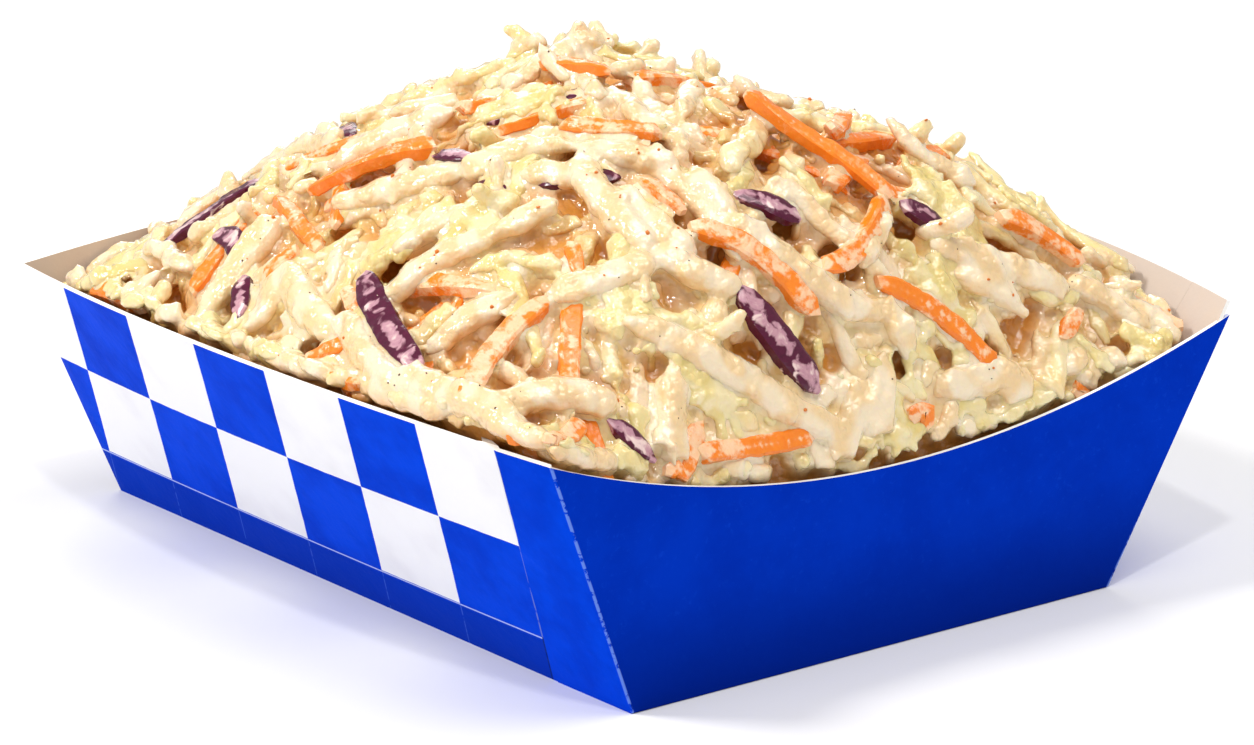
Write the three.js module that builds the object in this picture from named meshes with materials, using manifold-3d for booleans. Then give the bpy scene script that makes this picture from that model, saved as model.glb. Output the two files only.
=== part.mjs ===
import * as THREE from 'three';
import { mergeVertices } from 'three/addons/utils/BufferGeometryUtils.js';
import Module from 'manifold-3d';

// Coleslaw heaped in a folded paperboard tray.
// Millimetres, +Z up. The origin is under the middle of the rim, on the surface that the
// tray stands on. X runs along the front wall, and Y runs back along the long side walls.

// ---- Tray ----
const BOARD = 0.8; // thickness of the board
const WALL_PLAN = 0.85; // the same board seen from above, where a wall leans out
const BASE = { halfX: 55, halfY: 81, midX: -2, midY: 1.75 };
const RIM = { halfX: 77.5, halfY: 83.75, height: 48.5 };
const SIDE_BOW = 9.5; // the long walls bulge out at mid-length
const SIDE_ARCH = 2.5; // and their top edge rises there
const END_BOW = -3.5; // the short walls are drawn in by as much as this
const FRONT_DIP = 15; // the front wall's top edge is cut down in a shallow curve
const BACK_ARCH = 6; // the back wall's top edge is cut up in one
const RIGHT_LIFT = 2.5; // the right wall's edge stands above the ends of its neighbours
const FOLD_RADIUS = 1.6; // the corners are folded, so they aren't quite sharp
const WALL_STEPS = 12;

// ---- Heap ----
const GAP = 0.35; // room between the salad and the board
const CUT_GAP = GAP * 0.9; // the cut along the board leaves a little less, so that the core clears it
const CORE_SINK = 4; // the core lies this far under the heap's outer surface
const EDGE_SINK = 1; // and stops this far under the rim where it meets a wall
const STEEPEST = 0.45; // cosine of the steepest slope that the core's depth allows for
const HEAP = { reachX: 81.5, reachY: 81.75, foot: 52.5, rise: 40 };
const SKEW = { x: 0.08, y: 0.12 }; // the top lies a little left of the middle and forward
const ROUND = { x: 1.8, y: 2.3 }; // how round the heap is across and along
const DIP_FILL = { drop: 17, spread: 15, y: -82 }; // the heap follows the front wall's dip
const HOLLOWS = [ // corners that the salad doesn't fill
  { x: -78, y: 84, drop: 12, spread: 15 },
  { x: 80, y: -84, drop: 9, spread: 20 },
  { x: 78, y: 84, drop: 3, spread: 15 },
];
const LUMPS = [ // lumps and dents left by serving
  { x: -55, y: 64, rise: -2 },
  { x: 1, y: 7, rise: 4 },
  { x: 16, y: -9, rise: -3 },
  { x: 45, y: -42, rise: 3 },
];
const LUMP_SPREAD = 13;
const CORE_RINGS = [0.95, 0.86, 0.7, 0.48, 0.24];

// ---- Shreds ----
const SEED = 20417;
const SHRED_COUNT = 100;
const SPREAD = { x: [-84, 84], y: [-82, 82] }; // the area that shreds are scattered over
const CANDIDATES = 14; // the roomiest of this many places is taken for each shred
const KINDS = {
  cabbage: { width: [4.8, 6.2], thick: 2.8, length: [30, 58], bend: 0.024 },
  carrot: { width: [3.6, 4.2], thick: 2.6, length: [22, 32], bend: 0.008 },
  purple: { width: [4.2, 4.8], thick: 2.2, length: [18, 26], bend: 0.012 },
};
const MIX = ['cabbage', 'cabbage', 'carrot', 'cabbage', 'cabbage', 'cabbage', 'purple', 'cabbage'];
const BED = { top: 0.78, shallow: 1.3, deep: 3.1, endDip: 1.9 }; // how deep shreds lie in the heap
const TIP_SHARE = 0.16; // share of the shreds with one end standing up
const TIP_RISE = 4.5;
const SEGMENT = 14; // length of one straight stretch of a shred
const TOP_SEGMENT = 9.8; // and of one that lies on top
const SHORTEST = 13; // what the walls cut shorter than this is left out
const WALL_ROOM = 1.6; // room kept between a shred's middle and a wall, besides the gap
const TOP_SHARE = 0.62; // the upper face of a strip is this much of its width
const BLUNT = 0.8; // and its ends are this much as wide
const ROOT = 0.8; // how far the underside of a strip is set into the core
const SAME_PLACE = 1e-5; // corners closer than this are one
const SMOOTHING = 0.08; // slivers thinner than this are merged away where shreds cross

// Shreds that lie on top, each from one point of the heap to another.
const TOP_SHREDS = [
  { kind: 'carrot', from: [10, -34], to: [19, -57] },
  { kind: 'carrot', from: [17, -57], to: [-4, -65] },
  { kind: 'carrot', from: [-27, -57], to: [-9, -69] },
  { kind: 'carrot', from: [-56, -54], to: [-77, -58] },
  { kind: 'carrot', from: [7, -67], to: [28, -75] },
  { kind: 'carrot', from: [44, -58], to: [61, -62] },
  { kind: 'carrot', from: [-41, -77], to: [-16, -76] },
  { kind: 'carrot', from: [-55, 19], to: [-42, -3] },
  { kind: 'carrot', from: [-12, 5], to: [-8, -10] },
  { kind: 'purple', from: [-25, -65], to: [-12, -73] },
  { kind: 'purple', from: [-68, -17], to: [-75, -42] },
  { kind: 'purple', from: [-67, 32], to: [-72, 14] },
  { kind: 'cabbage', from: [-74, -18], to: [-80, -66] },
  { kind: 'cabbage', from: [-47, -67], to: [-7, -75] },
  { kind: 'cabbage', from: [-67, -41], to: [-24, -64] },
  { kind: 'cabbage', from: [-70, -26], to: [-46, -44] },
  { kind: 'cabbage', from: [-75, -65], to: [-54, -73] },
];

const wasm = await Module();
wasm.setup();

// ---- Helpers ----
const mix = (a, b, t) => a + (b - a) * t;
const hump = (t) => 4 * t * (1 - t);
const bell = (x, y, spread) => Math.exp(-(x * x + y * y) / (2 * spread * spread));

function seededRandom(seed) {
  let state = seed;
  return () => {
    state = (state + 0x6d2b79f5) | 0;
    let t = Math.imul(state ^ (state >>> 15), 1 | state);
    t = (t + Math.imul(t ^ (t >>> 7), 61 | t)) ^ t;
    return ((t ^ (t >>> 14)) >>> 0) / 4294967296;
  };
}

// A closed solid from rings of equally many points, capped by a fan at each end.
function solidFromRings(rings, firstTip, lastTip) {
  const size = rings[0].length;
  const points = [...rings.flat(), firstTip, lastTip];
  const first = points.length - 2;
  const last = points.length - 1;
  const faces = [];
  for (let i = 0; i < size; i++) {
    const next = (i + 1) % size;
    faces.push(first, next, i);
    for (let r = 0; r + 1 < rings.length; r++) {
      const a = r * size;
      const b = a + size;
      faces.push(a + i, a + next, b + next, a + i, b + next, b + i);
    }
    const top = (rings.length - 1) * size;
    faces.push(top + i, top + next, last);
  }
  const geometry = new THREE.BufferGeometry();
  const flat = points.flatMap((p) => [p.x, p.y, p.z]);
  geometry.setAttribute('position', new THREE.Float32BufferAttribute(flat, 3));
  geometry.setIndex(faces);
  return geometry;
}

function toManifold(geometry) {
  const merged = mergeVertices(geometry, SAME_PLACE);
  return new wasm.Manifold(new wasm.Mesh({
    numProp: 3,
    vertProperties: new Float32Array(merged.attributes.position.array),
    triVerts: new Uint32Array(merged.index.array),
  }));
}

function toGeometry(solid) {
  const mesh = solid.getMesh();
  const geometry = new THREE.BufferGeometry();
  geometry.setAttribute('position', new THREE.BufferAttribute(mesh.vertProperties, 3));
  geometry.setIndex(new THREE.BufferAttribute(mesh.triVerts, 1));
  return geometry;
}

// ---- Tray outline ----
// Each wall is ruled from a straight edge on the base to a bowed edge at the rim.
const WALLS = [
  { from: [-1, -1], to: [1, -1], out: [0, -1], bow: END_BOW, rise: -FRONT_DIP, lift: 0 },
  { from: [1, -1], to: [1, 1], out: [1, 0], bow: SIDE_BOW, rise: SIDE_ARCH, lift: RIGHT_LIFT },
  { from: [1, 1], to: [-1, 1], out: [0, 1], bow: END_BOW, rise: BACK_ARCH, lift: 0 },
  { from: [-1, 1], to: [-1, -1], out: [-1, 0], bow: SIDE_BOW, rise: SIDE_ARCH, lift: 0 },
];

function wallEdge(wall, t, inset) {
  const corner = (at, sign) => [
    sign[0] * (at.halfX - inset) + (at.midX ?? 0),
    sign[1] * (at.halfY - inset) + (at.midY ?? 0),
  ];
  const between = (at, axis) => mix(corner(at, wall.from)[axis], corner(at, wall.to)[axis], t);
  const bulge = wall.bow * hump(t);
  return {
    base: new THREE.Vector3(between(BASE, 0), between(BASE, 1), 0),
    rim: new THREE.Vector3(
      between(RIM, 0) + wall.out[0] * bulge,
      between(RIM, 1) + wall.out[1] * bulge,
      RIM.height + wall.lift + wall.rise * hump(t),
    ),
  };
}

function foldBetween(a, b, corner) {
  const sharp = Math.SQRT2 - 1;
  const pick = (key) => a[key].clone().add(b[key]).multiplyScalar(0.5).lerp(corner[key], sharp);
  return { base: pick('base'), rim: pick('rim') };
}

function outline(inset) {
  const edges = [];
  const reach = FOLD_RADIUS / (2 * BASE.halfX);
  WALLS.forEach((wall, w) => {
    for (let i = 0; i <= WALL_STEPS; i++) {
      edges.push(wallEdge(wall, mix(reach, 1 - reach, i / WALL_STEPS), inset));
    }
    const next = WALLS[(w + 1) % WALLS.length];
    const end = edges[edges.length - 1];
    edges.push(foldBetween(end, wallEdge(next, reach, inset), wallEdge(wall, 1, inset)));
  });
  return edges;
}

const atHeight = (edge, z) => edge.base.clone().lerp(edge.rim, z / edge.rim.z);

function makeTray() {
  const outer = outline(0);
  const inner = outline(WALL_PLAN);
  const rings = [
    outer.map((edge) => edge.base),
    outer.map((edge) => edge.rim),
    inner.map((edge) => edge.rim),
    inner.map((edge) => atHeight(edge, BOARD)),
  ];
  const under = new THREE.Vector3(BASE.midX, BASE.midY, 0);
  return solidFromRings(rings, under, under.clone().setZ(BOARD));
}

// ---- Heap surface ----
function heapHeight(x, y) {
  const u = THREE.MathUtils.clamp(x / HEAP.reachX, -1, 1);
  const v = THREE.MathUtils.clamp(y / HEAP.reachY, -1, 1);
  const across = 1 - Math.abs(u + SKEW.x * (1 - u * u)) ** ROUND.x;
  const along = 1 - Math.abs(v + SKEW.y * (1 - v * v)) ** ROUND.y;
  let z = HEAP.foot + HEAP.rise * across * along;
  const dip = Math.max(0, 1 - (x / RIM.halfX) ** 2);
  z -= DIP_FILL.drop * dip * Math.exp(-(((y - DIP_FILL.y) / DIP_FILL.spread) ** 2));
  for (const h of HOLLOWS) z -= h.drop * bell(x - h.x, y - h.y, h.spread);
  for (const lump of LUMPS) z += lump.rise * bell(x - lump.x, y - lump.y, LUMP_SPREAD);
  return z;
}

function heapNormal(x, y) {
  const step = 0.5;
  const slopeX = (heapHeight(x + step, y) - heapHeight(x - step, y)) / (2 * step);
  const slopeY = (heapHeight(x, y + step) - heapHeight(x, y - step)) / (2 * step);
  return new THREE.Vector3(-slopeX, -slopeY, 1).normalize();
}

// The core's height, so that it lies CORE_SINK under the heap, measured square to the slope.
function coreHeight(x, y) {
  const flatness = Math.max(heapNormal(x, y).z, STEEPEST);
  return heapHeight(x, y) - CORE_SINK / flatness;
}

function makeCore() {
  const wall = outline(WALL_PLAN + GAP);
  const foot = wall.map((edge) => atHeight(edge, BOARD + GAP));
  const edge = wall.map((e) => {
    const heap = coreHeight(e.rim.x, e.rim.y);
    return atHeight(e, Math.min(heap, e.rim.z - EDGE_SINK));
  });
  const rings = CORE_RINGS.map((share) => edge.map((p) => {
    const x = p.x * share;
    const y = p.y * share;
    return new THREE.Vector3(x, y, coreHeight(x, y));
  }));
  const under = new THREE.Vector3(BASE.midX, BASE.midY, BOARD + GAP);
  const top = new THREE.Vector3(0, 0, coreHeight(0, 0));
  return solidFromRings([foot, edge, ...rings], under, top);
}

// ---- Shreds ----
// True where a shred clears the walls.
function clearOfWalls(x, y, z) {
  const room = WALL_PLAN + GAP + WALL_ROOM;
  const level = Math.min(1, z / RIM.height);
  const sideT = 1 - (y / RIM.halfY) ** 2;
  const endT = 1 - (x / RIM.halfX) ** 2;
  const sideRim = RIM.halfX + SIDE_BOW * sideT;
  const endRim = RIM.halfY + END_BOW * Math.max(0, endT);
  const left = mix(BASE.halfX - BASE.midX, sideRim, level);
  const right = mix(BASE.halfX + BASE.midX, sideRim, level);
  const front = mix(BASE.halfY - BASE.midY, endRim, level);
  const back = mix(BASE.halfY + BASE.midY, endRim, level);
  return x > room - left && x < right - room && y > room - front && y < back - room;
}

// Walks over the heap from a point, and stops where the next step would meet a wall.
function walk(x, y, heading, bend, distance) {
  const steps = Math.max(1, Math.round(distance / SEGMENT));
  const stride = distance / steps;
  const trail = [];
  for (let i = 0; i < steps; i++) {
    const ahead = heading + bend * stride * (i + 0.5);
    const dx = Math.cos(ahead);
    const dy = Math.sin(ahead);
    const climb = heapHeight(x + dx, y + dy) - heapHeight(x, y);
    const plan = stride / Math.hypot(1, climb);
    x += dx * plan;
    y += dy * plan;
    if (!clearOfWalls(x, y, heapHeight(x, y) - BED.deep)) break;
    trail.push([x, y]);
  }
  return trail;
}

function lengthOf(trail) {
  const points = trail.map(([x, y]) => new THREE.Vector3(x, y, heapHeight(x, y)));
  return points.slice(1).reduce((sum, p, i) => sum + p.distanceTo(points[i]), 0);
}

// A strip along a trail, with a narrower top face and blunt ends. Its underside is set into
// the core, except on an end that stands up.
function makeShred(trail, width, thick, depth, tipEnd) {
  const last = trail.length - 1;
  const sinks = trail.map((_, i) => {
    const t = (2 * i) / last - 1;
    return depth + (tipEnd && t > 0 ? -TIP_RISE : BED.endDip) * t * t;
  });
  const centres = trail.map(([x, y], i) => {
    const centre = new THREE.Vector3(x, y, heapHeight(x, y));
    return centre.addScaledVector(heapNormal(x, y), -sinks[i]);
  });
  const rings = centres.map((centre, i) => {
    const ahead = centres[Math.min(i + 1, last)].clone().sub(centres[Math.max(i - 1, 0)]).normalize();
    const side = heapNormal(trail[i][0], trail[i][1]).cross(ahead).normalize();
    const up = ahead.clone().cross(side);
    const end = i === 0 || i === last ? BLUNT : 1;
    const stands = tipEnd && i > last / 2;
    const under = stands ? thick / 2 : Math.max(thick / 2, CORE_SINK + ROOT - sinks[i]);
    const at = (s, u) => centre.clone()
      .addScaledVector(side, s * width * end * 0.5)
      .addScaledVector(up, u);
    return [at(1, -under), at(TOP_SHARE, thick / 2), at(-TOP_SHARE, thick / 2), at(-1, -under)];
  });
  return solidFromRings(rings, centres[0], centres[last]);
}

function trailBetween(from, to) {
  const span = Math.hypot(to[0] - from[0], to[1] - from[1]);
  const steps = Math.max(2, Math.round(span / TOP_SEGMENT));
  return Array.from({ length: steps + 1 }, (_, i) => [
    mix(from[0], to[0], i / steps),
    mix(from[1], to[1], i / steps),
  ]);
}

function scatterShreds() {
  const random = seededRandom(SEED);
  const within = ([low, high]) => mix(low, high, random());
  const centres = TOP_SHREDS.map(({ from, to }) => {
    const x = (from[0] + to[0]) / 2;
    const y = (from[1] + to[1]) / 2;
    return new THREE.Vector3(x, y, heapHeight(x, y));
  });
  const shreds = [];
  for (let n = 0; n < SHRED_COUNT; n++) {
    let place = null;
    let roomiest = -1;
    for (let c = 0; c < CANDIDATES; c++) {
      const x = within(SPREAD.x);
      const y = within(SPREAD.y);
      const z = heapHeight(x, y);
      if (!clearOfWalls(x, y, z - BED.deep)) continue;
      const spot = new THREE.Vector3(x, y, z);
      const room = Math.min(...centres.map((other) => other.distanceTo(spot)));
      if (room > roomiest) {
        roomiest = room;
        place = spot;
      }
    }
    const kind = KINDS[MIX[n % MIX.length]];
    const width = within(kind.width);
    const length = within(kind.length);
    const heading = random() * Math.PI * 2;
    const bend = (random() * 2 - 1) * kind.bend;
    const depth = mix(BED.shallow, BED.deep, random());
    const tipEnd = random() < TIP_SHARE;
    if (!place) continue;
    centres.push(place);
    const ahead = walk(place.x, place.y, heading, bend, length / 2);
    const behind = walk(place.x, place.y, heading + Math.PI, -bend, length / 2);
    const trail = [...behind.reverse(), [place.x, place.y], ...ahead];
    if (trail.length < 3 || lengthOf(trail) < SHORTEST) continue;
    shreds.push(makeShred(trail, width, kind.thick, depth, tipEnd));
  }
  return shreds;
}

function layTopShreds() {
  return TOP_SHREDS.map(({ kind, from, to }) => {
    const { width, thick } = KINDS[kind];
    return makeShred(trailBetween(from, to), width[1], thick, BED.top, false);
  });
}

// The board with its clearance all round, which the fused salad is kept out of.
function makeKeepOut() {
  const outer = outline(-GAP);
  const inner = outline(WALL_PLAN + CUT_GAP);
  const raise = (edge) => edge.rim.clone().setZ(edge.rim.z + GAP);
  return solidFromRings(
    [
      outer.map((edge) => edge.base.clone().setZ(-GAP)),
      outer.map(raise),
      inner.map(raise),
      inner.map((edge) => atHeight(edge, BOARD + CUT_GAP)),
    ],
    new THREE.Vector3(BASE.midX, BASE.midY, -GAP),
    new THREE.Vector3(BASE.midX, BASE.midY, BOARD + CUT_GAP),
  );
}

// Fuses the shreds to the core. Sealed hollows and loose scraps are separate bodies of the
// union, so keeping the largest body fills the first and drops the second.
function makeSalad() {
  const pieces = [makeCore(), ...layTopShreds(), ...scatterShreds()].map(toManifold);
  const fused = wasm.Manifold.union(pieces).subtract(toManifold(makeKeepOut())).simplify(SMOOTHING);
  const bodies = fused.decompose();
  const largest = bodies.reduce((best, body) => (body.volume() > best.volume() ? body : best));
  return toGeometry(largest);
}

// ---- The part ----
function namedMesh(name, geometry, look) {
  const mesh = new THREE.Mesh(geometry, new THREE.MeshStandardMaterial(look));
  mesh.name = name;
  return mesh;
}

const part = new THREE.Group();
part.add(namedMesh('tray', makeTray(), { color: 0x0c3fc0, roughness: 0.55, metalness: 0 }));
part.add(namedMesh('slaw', makeSalad(), { color: 0xf3e6bf, roughness: 0.35, metalness: 0 }));

export default part;
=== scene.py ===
"""Coleslaw heaped in a folded paperboard tray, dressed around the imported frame."""

import math

import bmesh
import bpy
import numpy as np
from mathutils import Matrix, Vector, geometry, kdtree


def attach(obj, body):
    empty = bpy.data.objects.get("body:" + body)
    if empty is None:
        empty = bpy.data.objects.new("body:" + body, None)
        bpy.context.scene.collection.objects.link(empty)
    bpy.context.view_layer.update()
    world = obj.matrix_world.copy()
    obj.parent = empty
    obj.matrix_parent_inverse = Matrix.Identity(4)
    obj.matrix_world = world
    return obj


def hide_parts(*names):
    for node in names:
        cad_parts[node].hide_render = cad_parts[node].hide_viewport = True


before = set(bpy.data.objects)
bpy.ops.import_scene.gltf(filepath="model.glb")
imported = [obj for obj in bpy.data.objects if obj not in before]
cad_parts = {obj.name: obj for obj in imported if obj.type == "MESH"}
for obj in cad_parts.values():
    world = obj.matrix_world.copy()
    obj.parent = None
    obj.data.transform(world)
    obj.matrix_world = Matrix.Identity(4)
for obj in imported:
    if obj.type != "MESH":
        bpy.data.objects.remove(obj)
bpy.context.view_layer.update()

# ---------------------------------------------------------------------------------------
# Tray. A blank of thin white paperboard, printed blue outside with two rows of checks along
# its long walls. The walls are folded up, and tabs on the short walls are folded round the
# corners and glued outside the long ones.
# ---------------------------------------------------------------------------------------
BOARD = 0.0008  # metres, as all lengths here
BASE_HALF = (0.055, 0.081)
BASE_MIDDLE = (-0.002, 0.00175)
RIM_HALF = (0.0775, 0.08375)
RIM_HEIGHT = 0.0485
SIDE_BOW = 0.0095  # a long wall's rim bulges by this at mid-length
END_BOW = -0.0035  # and a short wall's rim draws in
# Each wall: the two corners it runs between, the way it faces, how far its rim rises at
# mid-length, and how much higher the whole rim stands.
WALLS = {
    "front": ((-1, -1), (1, -1), (0, -1), END_BOW, -0.015, 0.0),
    "right": ((1, 1), (1, -1), (1, 0), SIDE_BOW, 0.0025, 0.0025),
    "back": ((-1, 1), (1, 1), (0, 1), END_BOW, 0.006, 0.0),
    "left": ((-1, 1), (-1, -1), (-1, 0), SIDE_BOW, 0.0025, 0.0),
}
WALL_COLUMNS = 36
WALL_ROWS = 12
TAB_COLUMNS = 2  # this many of them cover a glued tab
TAB_EDGE = (0.872, 0.930)  # where the front wall's tabs end on a long wall, at base and rim
TAB_STEP = 0.0012  # the share of the wall that the step up to the tab takes
TAB_LIFT = 0.00014
FOLD_RADIUS = 0.0005
FOLD_SEGMENTS = 3
FOLD_COSINE = 0.8  # at a fold, the product of the two faces' normals is less than this
SMOOTH_UNDER = 28  # degrees
PRINT_FOOT = 0.195  # the checks stop at this share of a wall's height
PRINT_ROW = 0.4025  # and each row takes this share


def hump(t):
    return 4 * t * (1 - t)


def wall_point(wall, t, level):
    """A point of a wall's outer face: t along it, level from the base, 0, to the rim, 1."""
    start, end, out, bow, rise, lift = WALLS[wall]
    foot = [BASE_MIDDLE[i] + BASE_HALF[i] * (start[i] + (end[i] - start[i]) * t) for i in (0, 1)]
    rim = [RIM_HALF[i] * (start[i] + (end[i] - start[i]) * t) + out[i] * bow * hump(t) for i in (0, 1)]
    rim_z = RIM_HEIGHT + lift + rise * hump(t)
    plan = [foot[i] + (rim[i] - foot[i]) * level for i in (0, 1)]
    return Vector((*plan, rim_z * level))


def print_place(t, level):
    """Where the print lies on a long wall: checks along it, and checks up from its foot.
    The blank is cut in a curve, so the columns fan out towards the base."""
    spread = 0.8 + 2.15 * t - 2.75 * t * t
    return -0.8 + 5.2 * t + 2.3 * t * t + (1 - level) * spread, (level - PRINT_FOOT) / PRINT_ROW


def deselect():
    for other in bpy.context.selected_objects:
        other.select_set(False)


def pick(obj):
    deselect()
    obj.select_set(True)
    bpy.context.view_layer.objects.active = obj


def apply_modifiers(obj):
    pick(obj)
    for modifier in list(obj.modifiers):
        bpy.ops.object.modifier_apply(modifier=modifier.name)


def material(name):
    """A new node material, its node tree and its shader."""
    mat = bpy.data.materials.new(name)
    mat.use_nodes = True
    return mat, mat.node_tree, mat.node_tree.nodes["Principled BSDF"]


def fill(tree, socket, value):
    """Gives a socket a number or a colour, or links the socket that feeds it."""
    if isinstance(value, bpy.types.NodeSocket):
        tree.links.new(value, socket)
    elif socket.type == "RGBA":
        socket.default_value = (*value, 1.0)
    else:
        socket.default_value = value


def fill_inputs(tree, target, **values):
    """Fills a node's inputs, each named with _ for a space."""
    for name, value in values.items():
        fill(tree, target.inputs[name.replace("_", " ")], value)


def node(tree, kind, settings=None, **values):
    """A new node with its settings and the values of its inputs."""
    new = tree.nodes.new(kind)
    for name, value in (settings or {}).items():
        setattr(new, name, value)
    fill_inputs(tree, new, **values)
    return new


def coordinates(tree, kind="Object"):
    return tree.nodes.new("ShaderNodeTexCoord").outputs[kind]


def separate_xyz(tree, vector):
    return node(tree, "ShaderNodeSeparateXYZ", Vector=vector).outputs


def maths(tree, operation, *values):
    """A Math node whose inputs are numbers or sockets."""
    new = node(tree, "ShaderNodeMath", {"operation": operation})
    for socket, value in zip(new.inputs, values):
        fill(tree, socket, value)
    return new.outputs[0]


def product(tree, *values):
    result = values[0]
    for value in values[1:]:
        result = maths(tree, "MULTIPLY", result, value)
    return result


def mix_colours(tree, share, a, b):
    """A colour between a and b, each a colour or a socket."""
    new = node(tree, "ShaderNodeMix", {"data_type": "RGBA"})
    for number, value in ((0, share), (6, a), (7, b)):
        fill(tree, new.inputs[number], value)
    return new.outputs[2]


def ramp(tree, value, low, high):
    """0 where a value is under low, 1 where it is over high, smooth between."""
    smooth = {"interpolation_type": "SMOOTHSTEP"}
    new = node(tree, "ShaderNodeMapRange", smooth, Value=value, From_Min=low, From_Max=high)
    return new.outputs["Result"]


def part_of(tree, value, low, high, share):
    """A ramp of a value, times a share."""
    return maths(tree, "MULTIPLY", ramp(tree, value, low, high), share)


def near_line(tree, value, line, reach):
    """1 where a value is within reach of a line, 0 elsewhere."""
    away = maths(tree, "ABSOLUTE", maths(tree, "SUBTRACT", value, line))
    return maths(tree, "LESS_THAN", away, reach)


def noise(tree, place, scale, detail=2.0, roughness=0.5, distortion=0.0):
    return node(
        tree, "ShaderNodeTexNoise",
        Vector=place, Scale=scale, Detail=detail, Roughness=roughness, Distortion=distortion,
    ).outputs["Fac"]


def bump(tree, shader, height, distance, strength, under=None):
    """Bumps the shader's surface, over the bumps that it already has."""
    new = node(tree, "ShaderNodeBump", Height=height, Distance=distance, Strength=strength)
    if under is not None:
        fill_inputs(tree, new, Normal=under)
    fill_inputs(tree, shader, Normal=new.outputs["Normal"])
    return new.outputs["Normal"]


def srgb(red, green, blue):
    """A colour given as 0 to 255 on screen, as the linear colour that a shader takes."""
    shares = [channel / 255 for channel in (red, green, blue)]
    return tuple(s / 12.92 if s <= 0.04045 else ((s + 0.055) / 1.055) ** 2.4 for s in shares)


BLUE = srgb(0, 68, 222)
BLUE_WORN = srgb(30, 90, 232)
BLUE_DEEP = srgb(0, 56, 200)
# Painted shade: the front wall's blues are the same ink, darker all over.
BLUE_FRONT_SHADED = srgb(0, 52, 190)
BLUE_FRONT_DEEP_SHADED = srgb(0, 46, 178)
# Painted shade at the front wall's base.
BLUE_FOOT_SHADE = srgb(0, 34, 140)
# Painted shade below the lowest row of checks.
BLUE_LOWER_SHADE = srgb(0, 50, 178)
BLUE_TAB_SHADOW = srgb(0, 20, 84)
CHECK_WHITE = srgb(244, 244, 247)
CHECK_DUSTY = srgb(234, 233, 238)
BOARD_WHITE = srgb(210, 196, 186)
BOARD_STAIN = srgb(218, 198, 178)
EDGE_WHITE = srgb(250, 249, 246)
EDGE_STAIN = srgb(243, 240, 236)
FOLD_PALE = srgb(120, 156, 240)
HAIRLINE = srgb(196, 212, 248)
SCORE_PALE = srgb(84, 122, 224)
TAB_PALE = srgb(128, 146, 190)
TAB_COLUMN = 6.0  # the glued tab starts at this column of checks
PRINT_SPECULAR = 0.006
PLAIN_ROUGHNESS = 0.62
PLAIN_SPECULAR = 0.3


def printed_board(name, checked):
    """Blue print on coated board, with the fine grain of paper and worn fold lines. The plain front
    print is darker all over, and darker still towards its base, as painted shade.
    """
    mat, tree, shader = material(name)
    place = coordinates(tree)
    clouds = noise(tree, place, 60.0, 4.0, 0.65)
    fibre = noise(tree, place, 700.0, 3.0, 0.7)
    # The plain front print takes the darker blues of painted shade.
    pale, deep = (BLUE, BLUE_DEEP) if checked else (BLUE_FRONT_SHADED, BLUE_FRONT_DEEP_SHADED)
    colour = mix_colours(tree, ramp(tree, clouds, 0.35, 0.7), pale, deep)
    colour = mix_colours(tree, part_of(tree, fibre, 0.56, 0.8, 0.22), colour, BLUE_WORN)
    if checked:
        along, up, _ = separate_xyz(tree, coordinates(tree, "UV"))
        colour = add_checks(tree, place, colour, along, up)
    else:
        height = separate_xyz(tree, place)[2]
        # Painted shade: the front wall darkens towards its base.
        colour = mix_colours(tree, part_of(tree, height, 0.026, 0.0, 0.95), colour, BLUE_FOOT_SHADE)
    fold = node(tree, "ShaderNodeAttribute", {"attribute_name": "fold"}).outputs["Fac"]
    worn = maths(tree, "MULTIPLY", part_of(tree, fold, 0.00048, 0.00030, 0.7), ramp(tree, fibre, 0.40, 0.50))
    fill_inputs(
        tree, shader,
        Base_Color=mix_colours(tree, worn, colour, FOLD_PALE),
        Roughness=maths(tree, "MULTIPLY_ADD", clouds, 0.2, 0.38),
        Specular_IOR_Level=PRINT_SPECULAR,
    )
    under = bump(tree, shader, fibre, 0.00010, 0.6)
    bump(tree, shader, clouds, 0.0008, 0.4, under)
    return mat


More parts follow.
